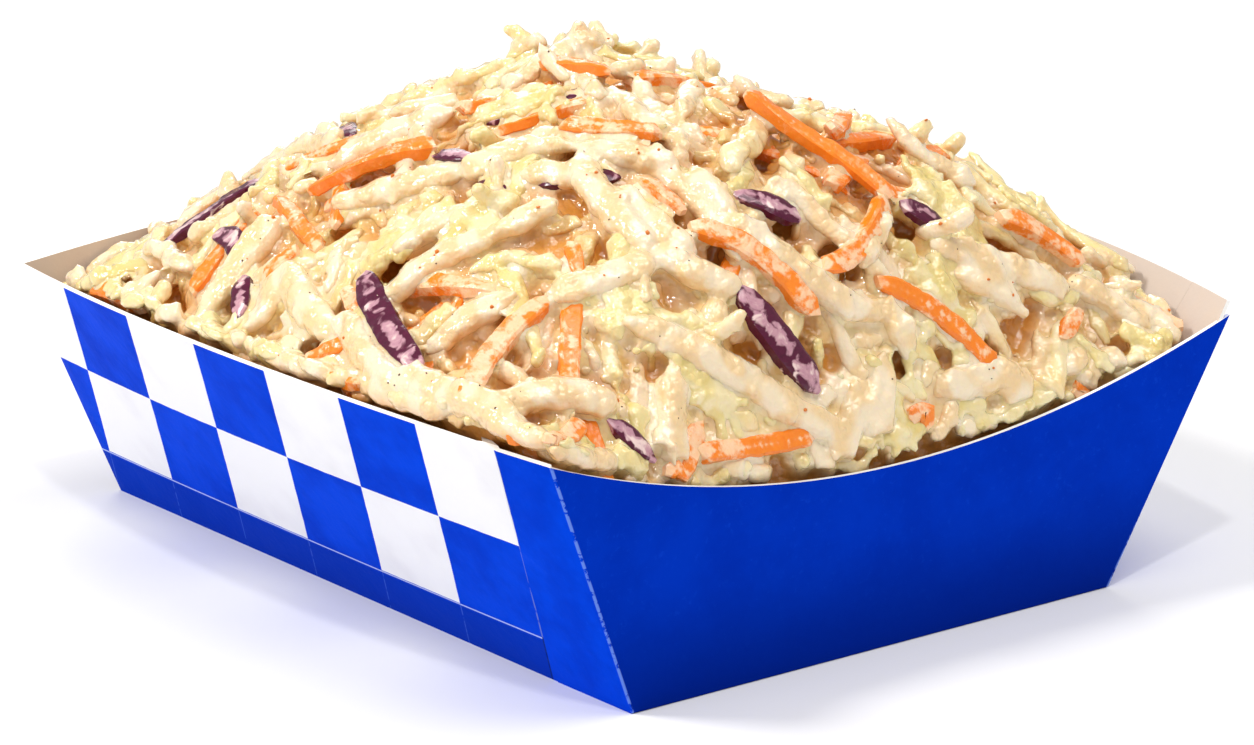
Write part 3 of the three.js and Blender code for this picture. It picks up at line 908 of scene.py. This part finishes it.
# Shreds that lie on top, in tenths of a millimetre: kind, where it starts and ends, how far its
# line bows sideways, width, and for some how far the far end stands up. Later ones lie over
# those before them.
TOP_SHREDS = [
    ("rib", -855, -20, -850, -260, -10, 50), ("leaf", -780, -200, -850, -340, 0, 46),
    ("rib", -840, -360, -815, -600, -10, 48), ("leaf", -745, -600, -800, -720, 0, 46),
    ("leaf", -770, -810, -600, -830, 0, 46), ("leaf", -790, 160, -860, 40, 0, 46),
    ("rib", -580, 60, -470, -120, -10, 56), ("rib", -550, 20, -440, -170, -10, 58),
    ("rib", -500, 170, -340, 40, 20, 62), ("rib", -420, -280, -360, -390, 10, 56),
    ("rib", -730, -430, -590, -490, 0, 58), ("rib", -280, -650, -310, -690, 0, 58),
    ("rib", -170, -810, -20, -740, 0, 56), ("rib", -820, -670, -790, -840, -50, 58),
    ("rib", 490, -760, 420, -770, 0, 60), ("rib", 530, -760, 570, -800, 0, 60),
    ("rib", -840, -70, -790, -140, 0, 58), ("rib", -710, 70, -800, 10, 30, 58),
    ("leaf", -630, -190, -520, -250, 0, 56), ("rib", 250, -670, 380, -710, 10, 64),
    ("rib", -330, -440, -290, -600, -20, 60), ("rib", -190, -470, -190, -600, 0, 56),
    ("purple", -150, -540, -50, -600, 0, 49), ("purple", 190, -590, 270, -630, 0, 47),
    ("purple", -680, 300, -740, 130, 20, 47), ("purple", -740, 110, -800, 40, 0, 40),
    ("purple", -480, -220, -450, -280, 0, 40), ("purple", -460, -80, -440, -170, 0, 38),
    ("purple", -590, -750, -520, -790, 0, 43), ("carrot", -790, -840, -650, -750, 0, 34),
    ("carrot", -460, -480, -490, -540, 0, 29), ("carrot", -700, -150, -730, -230, 0, 31),
    ("carrot", -820, -200, -780, -270, 0, 31), ("carrot", -740, 50, -680, 30, 0, 31),
    ("carrot", -300, -460, -270, -550, 0, 33), ("carrot", 100, -780, 60, -860, 0, 36),
    ("carrot", 440, -750, 510, -720, 0, 31), ("carrot", 660, -690, 730, -770, 0, 31),
    ("rib", -700, 40, -770, -220, -10, 64), ("rib", -630, 170, -870, 130, 0, 62),
    ("rib", -470, -180, -320, -310, 20, 58), ("rib", -320, -310, -210, -460, -10, 56),
    ("rib", 620, -700, 720, -780, 20, 56), ("rib", 520, -680, 660, -750, 20, 54),
    ("rib", 220, -640, 510, -690, 0, 58), ("rib", 40, -660, 150, -600, 0, 54),
    ("green", 330, -560, 330, -620, 0, 52, 30), ("rib", 340, -760, 130, -860, 10, 64),
    ("rib", -720, -270, -540, -370, 20, 58), ("rib", -550, -350, -430, -400, -10, 54),
    ("rib", -340, -340, -360, -580, -20, 62), ("rib", -190, -580, 60, -700, -30, 62),
    ("rib", 50, -690, 90, -740, 10, 58), ("rib", 30, -730, -50, -810, 0, 62),
    ("rib", -560, -550, -360, -590, -10, 62), ("rib", -360, -580, -230, -660, -10, 60),
    ("rib", -420, -710, -490, -870, -20, 62), ("carrot", -420, -810, -160, -790, 10, 36),
    ("carrot", 60, -680, 270, -760, 10, 36), ("carrot", 420, -600, 580, -650, 10, 36),
    ("carrot", 170, -590, 0, -390, 0, 34, 30), ("carrot", 250, -370, 120, -480, 0, 31, 40),
    ("carrot", 150, -590, -50, -660, 20, 38), ("carrot", -570, 150, -440, -60, 10, 38),
    ("carrot", -160, 0, -120, -150, -10, 34), ("carrot", -280, -20, -340, 10, 0, 33, 20),
    ("carrot", -310, -260, -200, -400, -10, 33), ("carrot", -570, -560, -800, -630, -20, 38),
    ("rib", -790, -680, -560, -740, 10, 62), ("rib", -750, -200, -880, -740, 0, 62),
    ("purple", -240, -660, -130, -750, -10, 60), ("purple", -690, -190, -780, -480, -10, 52),
    ("carrot", -280, -580, -100, -700, 10, 38), ("rib", -470, -650, -100, -770, -20, 62),
]
TOP_PROUD = (0.0016, 0.0036)


def lay_top_shreds():
    for number, (kind, *lengths) in enumerate(TOP_SHREDS):
        x0, y0, x1, y1, bow, width, *tip = (length / 10000 for length in lengths)
        span = math.hypot(x1 - x0, y1 - y0)
        t = np.linspace(0, 1, max(6, int(span / STEP)))
        x = x0 + (x1 - x0) * t - (y1 - y0) / span * bow * hump(t)
        y = y0 + (y1 - y0) * t + (x1 - x0) / span * bow * hump(t)
        proud = TOP_PROUD[0] + (TOP_PROUD[1] - TOP_PROUD[0]) * number / len(TOP_SHREDS)
        tone = rng.uniform(0, 0.7) if kind == "rib" else None
        lay_shred(kind, x, y, width, proud, tip=sum(tip), tone=tone)


lay_top_shreds()

# Frilly clumps of green leaf: curds and short wavy shreds that spread from one place.
GREEN_CLUMPS = [
    (-0.046, -0.062), (-0.052, -0.028), (-0.036, -0.073), (0.004, -0.079), (0.020, -0.070), (0.006, 0.012),
    (-0.060, -0.018), (-0.026, -0.010), (0.030, -0.058),
]
CLUMP_SHREDS = 7
CLUMP_CURDS = 38
CLUMP_SPREAD = 0.0042
CLUMP_TURN = 2.4


def lay_clump(x, y):
    for number in range(CLUMP_SHREDS):
        heading = number * CLUMP_TURN + rng.uniform(-0.3, 0.3)
        out = rng.uniform(0.0015, 0.0050)
        line = plan_line(
            x + math.cos(heading) * out, y + math.sin(heading) * out, heading + rng.uniform(-0.6, 0.6),
            rng.uniform(0.006, 0.011), 0, 0.9, 0.006,
        )
        lay_shred("green", *line, rng.uniform(0.0022, 0.0030), 0.0012, tone=rng.uniform(0.3, 1.0))
    for _ in range(CLUMP_CURDS):
        spread = rng.normal(0, CLUMP_SPREAD, 2)
        lay_curd("green", x + spread[0], y + spread[1], rng.uniform(0.0009, 0.0016), 0.0008)


for clump in GREEN_CLUMPS:
    lay_clump(*clump)
scatter(["leaf", "rib", "curl", "green"], 80, 0.0010, tips=0.2, shorten=0.8)
scatter(["leaf", "curl", "green"], 120, 0.0018, shorten=0.8)
scatter(["curl", "leaf", "rib"], 160, 0.0004, shorten=0.7, find=wall_spots)
scatter_curds(700, 0.0034)

# Tips that stand up out of the heap: in pairs along its ridge, and single ones anywhere.
RIDGE = [
    (-0.037, 0.045), (-0.024, 0.039), (-0.019, 0.026), (-0.010, 0.013), (0.001, 0.003), (0.007, 0.003),
    (0.020, -0.001), (0.025, -0.011), (0.032, -0.031), (0.040, -0.034), (0.046, -0.039),
]
RIDGE_TIP = {"length": (0.0045, 0.0068), "lean": (0.35, 0.9)}
LOOSE_TIP = {"length": (0.0050, 0.0085), "lean": (0.3, 0.9)}
LOOSE_TIPS = 24
TIP_ENDS = {"point": (0.5, 1.0), "blunt": 0.6}
TIP_POINTS = 8
TIP_ROOT = 0.0010


def lay_tip(x, y, size):
    """A short shred whose root is in the pile and whose end stands up."""
    kind = ("leaf", "green", "leaf", "rib")[rng.integers(0, 4)]
    length = rng.uniform(*size["length"])
    heading, lean = rng.uniform(0, 6.28), rng.uniform(*size["lean"])
    s = np.linspace(-0.4, 1, TIP_POINTS) * length
    turn = lean * np.linspace(0.5, 1.1, TIP_POINTS)
    line_x, line_y = x + np.cos(heading) * np.cos(turn) * s, y + np.sin(heading) * np.cos(turn) * s
    z = pile[cells(x, y)] - TIP_ROOT + np.sin(turn) * s
    half_width = rng.uniform(0.0014, 0.0019)
    line_x, line_y = keep_inside(line_x, line_y, z - half_width, half_width)
    spine = np.stack([line_x, line_y, z], 1)
    ups = np.tile([-math.sin(heading), math.cos(heading), 0.3], (TIP_POINTS, 1))
    store = shells[kind]
    add_shell(store, spine, ups, half_width, half_width * 0.8, {**KINDS[kind], **TIP_ENDS}, False)
    note(store, spine, rng.uniform(), half_width)


for x, y in RIDGE:
    lay_tip(x, y, RIDGE_TIP)
    lay_tip(x + rng.uniform(-0.003, 0.003), y + rng.uniform(-0.003, 0.003), RIDGE_TIP)
for x, y in rng.uniform(-0.074, 0.074, (LOOSE_TIPS, 2)):
    lay_tip(x, y, LOOSE_TIP)


def new_mesh_object(name, stores):
    """One mesh of all the closed shells in some stores, facing outwards."""
    points, faces, count = [], [], 0
    for store in stores:
        points.extend(store["points"])
        faces.extend([index + count for index in face] for face in store["faces"])
        count += store["count"]
    mesh = bpy.data.meshes.new(name)
    mesh.from_pydata(np.concatenate(points), [], faces)
    obj = bpy.data.objects.new(name, mesh)
    bpy.context.collection.objects.link(obj)
    pick(obj)
    bpy.ops.object.mode_set(mode="EDIT")
    bpy.ops.mesh.select_all(action="SELECT")
    bpy.ops.mesh.normals_make_consistent(inside=False)
    bpy.ops.object.mode_set(mode="OBJECT")
    return obj


def swell(obj, height, texture=None):
    """Moves the surface out by a height, or by up to half of it either way in uneven lumps."""
    move = obj.modifiers.new("swell", "DISPLACE")
    move.strength = height
    move.mid_level = 0.0
    if texture:
        move.texture = texture
        move.texture_coords = "LOCAL"
        move.mid_level = 0.5


def lumps(size):
    clouds = bpy.data.textures.new("lumps", "CLOUDS")
    clouds.noise_scale = size
    clouds.noise_depth = 1
    return clouds


def soften(obj, passes, factor=0.5):
    smooth = obj.modifiers.new("soften", "SMOOTH")
    smooth.factor = factor
    smooth.iterations = passes


def remove_folded_faces(mesh):
    """Removes the pairs of faces that thinning has folded onto the same three corners."""
    copy = bmesh.new()
    copy.from_mesh(mesh)
    sharing = {}
    for face in copy.faces:
        sharing.setdefault(frozenset(vertex.index for vertex in face.verts), []).append(face)
    folded = [face for faces in sharing.values() if len(faces) > 1 for face in faces]
    bmesh.ops.delete(copy, geom=folded, context="FACES")
    copy.to_mesh(mesh)
    copy.free()


def fuse(obj, voxel, web, sink, passes, most_triangles):
    """Joins crossing shreds into one skin. Dressing fills the angles between them up to a
    radius of web, and the skin then lies sink under the shreds' own surface."""
    if web:
        swell(obj, web)
    join = obj.modifiers.new("fuse", "REMESH")
    join.mode = "VOXEL"
    join.voxel_size = voxel
    join.use_smooth_shade = True
    soften(obj, passes)
    if web or sink:
        swell(obj, -web - sink)
    for size, height in SOFT_LUMPS:
        swell(obj, height, lumps(size))
    soften(obj, 1, 0.4)
    apply_modifiers(obj)
    triangles = 2 * len(obj.data.polygons)
    if triangles > most_triangles:
        thin = obj.modifiers.new("thin", "DECIMATE")
        thin.ratio = most_triangles / triangles
        apply_modifiers(obj)
        remove_folded_faces(obj.data)


def filtered(grid, reach, how):
    """A grid with each cell's value replaced by the most, or the mean, of those around."""
    for axis in (0, 1):
        shifts = range(-int(reach / CELL), int(reach / CELL) + 1)
        grid = how([np.roll(grid, shift, axis) for shift in shifts], axis=0)
    return grid


# How far the pile stands over the heap's surface once its gaps are closed, which the depth of
# a gap is measured from. The materials paint shade in gaps by that depth.
GAP_REACH = 0.004
closed_over = filtered(filtered(pile - heap_grid, GAP_REACH, np.max), GAP_REACH, np.mean)
DEEPEST = 0.012
WAVES = 10  # in the soft mottling
MOTTLE = rng.normal(0, 1, (WAVES, 3))
MOTTLE *= (2 * np.pi / rng.uniform(0.004, 0.012, WAVES) / np.linalg.norm(MOTTLE, axis=1))[:, None]
MOTTLE_TURNS = rng.uniform(0, 6.28, WAVES)


def per_vertex(mesh, what):
    """The places or the normals of a mesh's points."""
    values = np.zeros(len(mesh.vertices) * 3)
    mesh.vertices.foreach_get(what, values)
    return values.reshape(-1, 3)


def paint(obj, kind):
    """Stores each point's own shred tone, its depth in the heap, which the materials turn into painted
    shade, and a soft mottling or, on cut shreds, how near it is to their edges, for the materials."""
    spine, tones, halves = (np.concatenate(shells[kind][key]) for key in ("spine", "tone", "half"))
    near = kdtree.KDTree(len(spine))
    for number, point in enumerate(spine):
        near.insert(point, number)
    near.balance()
    places = per_vertex(obj.data, "co")
    x, y, z = places.T
    found = np.array([near.find(place)[1:] for place in places])
    nearest = found[:, 0].astype(int)
    depth = (heap_height(x, y) + closed_over[cells(x, y)] - z) * steepness(x, y)
    if kind in CRISP:
        third = np.clip(found[:, 1] / halves[nearest], 0, 1)
    else:
        third = np.clip(0.5 + np.sin(places @ MOTTLE.T + MOTTLE_TURNS).mean(axis=1) * 1.1, 0, 1)
    values = np.stack([tones[nearest], np.clip(depth / DEEPEST, 0, 1), third, np.ones(len(places))], 1)
    shade = obj.data.attributes.new("shade", "FLOAT_COLOR", "POINT")
    shade.data.foreach_set("color", values.ravel())


def shade_sockets(tree):
    """The tone, the depth, and the mottling or nearness to an edge that paint has stored."""
    attribute = node(tree, "ShaderNodeAttribute", {"attribute_name": "shade"})
    return node(tree, "ShaderNodeSeparateColor", Color=attribute.outputs["Color"]).outputs


def dressed(name, pale, rich, tint, gap):
    """Vegetable under creamy dressing, with painted light and shade: pale on crests, richer and more
    yellow in dips, and golden in deep gaps.
    """
    mat, tree, shader = material(name)
    place = coordinates(tree)
    tone, depth, mottle = shade_sockets(tree)
    colour = mix_colours(tree, ramp(tree, mottle, 0.3, 0.7), pale, rich)
    colour = mix_colours(tree, part_of(tree, tone, 0.45, 1.0, 0.7), colour, tint)
    # Painted light and shade by curvature: paler on crests, more yellow in dips.
    crest = tree.nodes.new("ShaderNodeNewGeometry").outputs["Pointiness"]
    colour = mix_colours(tree, part_of(tree, crest, 0.50, 0.58, 0.35), colour, pale)
    colour = mix_colours(tree, part_of(tree, crest, 0.50, 0.42, 0.40), colour, tint)
    # Painted shade: golden deep in the heap's gaps.
    colour = mix_colours(tree, part_of(tree, depth, 0.12, 0.52, 0.92), colour, gap)
    fill_inputs(
        tree, shader, Base_Color=colour, Roughness=maths(tree, "MULTIPLY_ADD", mottle, 0.12, 0.06),
        Subsurface_Weight=0.3, Subsurface_Radius=(1.0, 0.6, 0.25), Subsurface_Scale=0.0012,
        Specular_IOR_Level=0.7, Coat_Weight=0.4, Coat_Roughness=0.05,
    )
    beads = node(tree, "ShaderNodeTexVoronoi", Vector=place, Scale=620.0).outputs["Distance"]
    height = maths(tree, "MULTIPLY", maths(tree, "SUBTRACT", 1.0, beads), mottle)
    under = bump(tree, shader, noise(tree, place, 420.0, 3.0, 0.5), 0.0010, 0.50)
    bump(tree, shader, height, 0.0007, 0.7, under)
    return mat


CREAM = srgb(243, 224, 192)
CREAM_RICH = srgb(238, 206, 156)
YELLOW_GREEN = srgb(236, 214, 140)
# Painted shade for deep gaps.
GOLDEN_GAP_SHADE = srgb(208, 136, 44)

SOFT_LUMPS = [(0.0045, 0.0008), (0.0018, 0.00032)]
# Each soft piece: its name, voxel, web, sink, smoothing and most triangles.
SOFT_PIECES = {
    "rib": ("white_cabbage_ribs", 0.00056, 0.00012, 0.0, 1, 190000),
    "leaf": ("white_cabbage_shreds", 0.00062, 0.00010, 0.0, 1, 190000),
    "green": ("green_cabbage_shreds", 0.00060, 0.0, 0.0, 1, 150000),
    "bed": ("slaw_bed", 0.00080, 0.0003, 0.00045, 2, 190000),
}
# Each soft piece's colours: pale, rich, tint, and the golden painted shade of deep gaps.
SOFT_COLOURS = {
    "bed": (CREAM, CREAM_RICH, YELLOW_GREEN, GOLDEN_GAP_SHADE),
    "rib": (CREAM, CREAM_RICH, srgb(238, 214, 150), GOLDEN_GAP_SHADE),
    "leaf": (CREAM, CREAM_RICH, YELLOW_GREEN, GOLDEN_GAP_SHADE),
    "green": (srgb(240, 224, 178), srgb(234, 212, 144), srgb(222, 198, 112), srgb(192, 124, 34)),
}


def finish_shreds():
    made = {}
    for kind, (name, *settings) in SOFT_PIECES.items():
        stores = [shells[kind]] if kind != "bed" else list(shells.values())
        piece = new_mesh_object(name, stores)
        fuse(piece, *settings)
        paint(piece, kind)
        piece.data.materials.append(dressed(name.replace("_", " "), *SOFT_COLOURS[kind]))
        made[kind] = piece
    return made


def carrot_material():
    """Carrot under a thin, patchy film of dressing: deep orange on bare edges and ends, and darker
    orange deep in the heap as painted shade.
    """
    mat, tree, shader = material("dressed carrot")
    place = coordinates(tree)
    tone, depth, edge = shade_sockets(tree)
    patches = noise(tree, place, 200.0, 4.0, 0.6, 0.4)
    fine = noise(tree, place, 1100.0, 3.0, 0.65)
    bare = mix_colours(tree, fine, srgb(240, 116, 12), srgb(249, 148, 44))
    film = mix_colours(tree, fine, srgb(248, 184, 130), srgb(253, 218, 182))
    share = maths(tree, "ADD", patches, maths(tree, "MULTIPLY_ADD", fine, 0.25, -0.125))
    share = maths(tree, "ADD", share, maths(tree, "MULTIPLY_ADD", tone, 0.20, -0.06))
    share = maths(tree, "SUBTRACT", share, part_of(tree, edge, 0.66, 0.92, 0.20))
    thin = maths(tree, "SUBTRACT", 0.6, part_of(tree, edge, 0.55, 0.88, 0.6))
    colour = mix_colours(tree, thin, bare, srgb(251, 200, 150))
    colour = mix_colours(tree, ramp(tree, share, 0.33, 0.49), colour, film)
    # Painted shade: darker orange deep in the heap's gaps.
    colour = mix_colours(tree, part_of(tree, depth, 0.3, 0.9, 0.6), colour, srgb(205, 92, 14))
    fill_inputs(
        tree, shader, Base_Color=colour, Roughness=0.22,
        Subsurface_Weight=0.2, Subsurface_Radius=(1.0, 0.4, 0.1), Subsurface_Scale=0.0010,
    )
    under = bump(tree, shader, fine, 0.00015, 0.6)
    bump(tree, shader, patches, 0.0008, 0.6, under)
    return mat


def purple_material():
    """Purple cabbage: dark blotches of skin showing through a lavender film."""
    mat, tree, shader = material("dressed purple cabbage")
    place = coordinates(tree)
    tone, _, edge = shade_sockets(tree)
    blotches = noise(tree, place, 300.0, 3.0, 0.5, 0.6)
    fine = noise(tree, place, 1000.0, 3.0, 0.65)
    skin = mix_colours(tree, fine, srgb(58, 0, 30), srgb(98, 14, 56))
    film = mix_colours(tree, fine, srgb(160, 100, 128), srgb(216, 172, 176))
    film = mix_colours(tree, ramp(tree, blotches, 0.56, 0.70), film, srgb(236, 208, 202))
    share = maths(tree, "SUBTRACT", blotches, part_of(tree, edge, 0.60, 0.90, 0.20))
    share = maths(tree, "ADD", share, maths(tree, "MULTIPLY_ADD", tone, 0.10, -0.05))
    colour = mix_colours(tree, ramp(tree, share, 0.44, 0.55), skin, film)
    fill_inputs(tree, shader, Base_Color=colour, Roughness=0.2)
    under = bump(tree, shader, fine, 0.0001, 0.5)
    bump(tree, shader, blotches, 0.0005, 0.5, under)
    return mat


CUT_PIECES = {
    "carrot": ("carrot_shreds", carrot_material()),
    "purple": ("purple_cabbage_shreds", purple_material()),
}
CUT_LUMPS = (0.0022, 0.0006)
CUT_SMOOTH_UNDER = 32


def finish_cut_vegetables():
    made = {}
    for kind, (name, mat) in CUT_PIECES.items():
        piece = new_mesh_object(name, [shells[kind]])
        finer = piece.modifiers.new("finer", "SUBSURF")
        finer.subdivision_type = "SIMPLE"
        finer.levels = 1
        swell(piece, CUT_LUMPS[1], lumps(CUT_LUMPS[0]))
        apply_modifiers(piece)
        bpy.ops.object.shade_smooth_by_angle(angle=math.radians(CUT_SMOOTH_UNDER))
        paint(piece, kind)
        piece.data.materials.append(mat)
        made[kind] = piece
    return made


pieces = {**finish_shreds(), **finish_cut_vegetables()}
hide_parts("slaw")

# ---------------------------------------------------------------------------------------
# Pepper and crumbs. Coarsely ground pepper and small crumbs of carrot in the dressing: uneven
# grains set half into the surface of the upper shreds.
# ---------------------------------------------------------------------------------------
GRAINS = [
    ("ground_pepper", 130, (0.00013, 0.00030), srgb(92, 62, 34)),
    ("carrot_crumbs", 90, (0.00022, 0.00055), srgb(238, 132, 40)),
]
GRAIN_FACING = 0.2  # they lie where the surface faces up at least this much
GRAIN_DEPTH = 0.002  # and no further under the heap's surface
GRAIN_SHADE = 0.55


def lay_grains(name, count, radii, colour):
    """Grains at points of the white shreds that face up and lie near the heap's surface."""
    places = []
    for kind in ("rib", "leaf"):
        mesh = pieces[kind].data
        points = per_vertex(mesh, "co")
        depth = heap_height(points[:, 0], points[:, 1]) - points[:, 2]
        shown = points[(per_vertex(mesh, "normal")[:, 2] > GRAIN_FACING) & (depth < GRAIN_DEPTH)]
        places.extend(shown[rng.integers(0, len(shown), count // 2)])
    store = new_store()
    for place in places:
        flat = rng.uniform(0.5, 1.0, 3)
        add_ball(store, place, rng.uniform(*radii), (0.8, 1.15), flat)
    grains = new_mesh_object(name, [store])
    mat, tree, shader = material(name.replace("_", " "))
    dark = [part * GRAIN_SHADE for part in colour]
    speckled = mix_colours(tree, noise(tree, coordinates(tree), 900.0), colour, dark)
    fill_inputs(tree, shader, Base_Color=speckled, Roughness=0.35)
    grains.data.materials.append(mat)
    return grains


for grain in GRAINS:
    pieces[grain[0]] = lay_grains(*grain)
for piece in pieces.values():
    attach(piece, "root")

# ---------------------------------------------------------------------------------------
# The stage: a pale floor, soft studio light from the left, and the camera.
# ---------------------------------------------------------------------------------------
CAMERA_AT = (-0.5312436, -0.6855284, 0.2794668)
CAMERA_LOOKS = (0.5915716, 0.7582517, -0.2740390)
CAMERA_LENS = 138.67

deselect()
bpy.ops.mesh.primitive_plane_add(size=6)
floor = bpy.context.object
floor.name = "floor"
mat, tree, shader = material("pale floor")
fill_inputs(tree, shader, Base_Color=(0.84, 0.84, 0.84), Roughness=0.9)
floor.data.materials.append(mat)

# Each light: where it is, the height that it aims at, its size, power and colour.
LIGHTS = {
    "key": ((-0.9, 0.35, 1.1), 0.05, 0.3, 11.0, (1.0, 0.985, 0.96)),
    "top": ((0.25, -0.5, 1.4), 0.05, 0.9, 8.4, (1.0, 0.985, 0.96)),
    "side": ((-1.6, 0.1, 0.35), 0.04, 0.8, 2.0, (1.0, 0.98, 0.97)),
    "sparkle": ((-0.45, -0.55, 1.2), 0.05, 0.08, 3.4, (1.0, 1.0, 1.0)),
    "back": ((0.8, 1.3, 0.9), 0.05, 0.8, 6.0, (1.0, 0.98, 0.96)),
}
for name, (place, aim, size, power, colour) in LIGHTS.items():
    lamp = bpy.data.lights.new(name, "AREA")
    lamp.shape = "DISK"
    lamp.size = size
    lamp.energy = power
    lamp.color = colour
    holder = bpy.data.objects.new(name, lamp)
    bpy.context.collection.objects.link(holder)
    holder.location = place
    holder.rotation_euler = (Vector((0, 0, aim)) - Vector(place)).to_track_quat("-Z", "Y").to_euler()

world = bpy.data.worlds.new("studio")
world.use_nodes = True
world.node_tree.nodes["Background"].inputs["Color"].default_value = (1.0, 0.99, 0.975, 1)
world.node_tree.nodes["Background"].inputs["Strength"].default_value = 0.5
bpy.context.scene.world = world
bpy.context.scene.view_settings.view_transform = "Standard"

camera = bpy.data.cameras.new("camera")
camera.lens = CAMERA_LENS
camera.sensor_width = 36
camera.sensor_fit = "HORIZONTAL"
holder = bpy.data.objects.new("camera", camera)
bpy.context.collection.objects.link(holder)
holder.location = CAMERA_AT
holder.rotation_euler = Vector(CAMERA_LOOKS).to_track_quat("-Z", "Y").to_euler()
bpy.context.scene.camera = holder
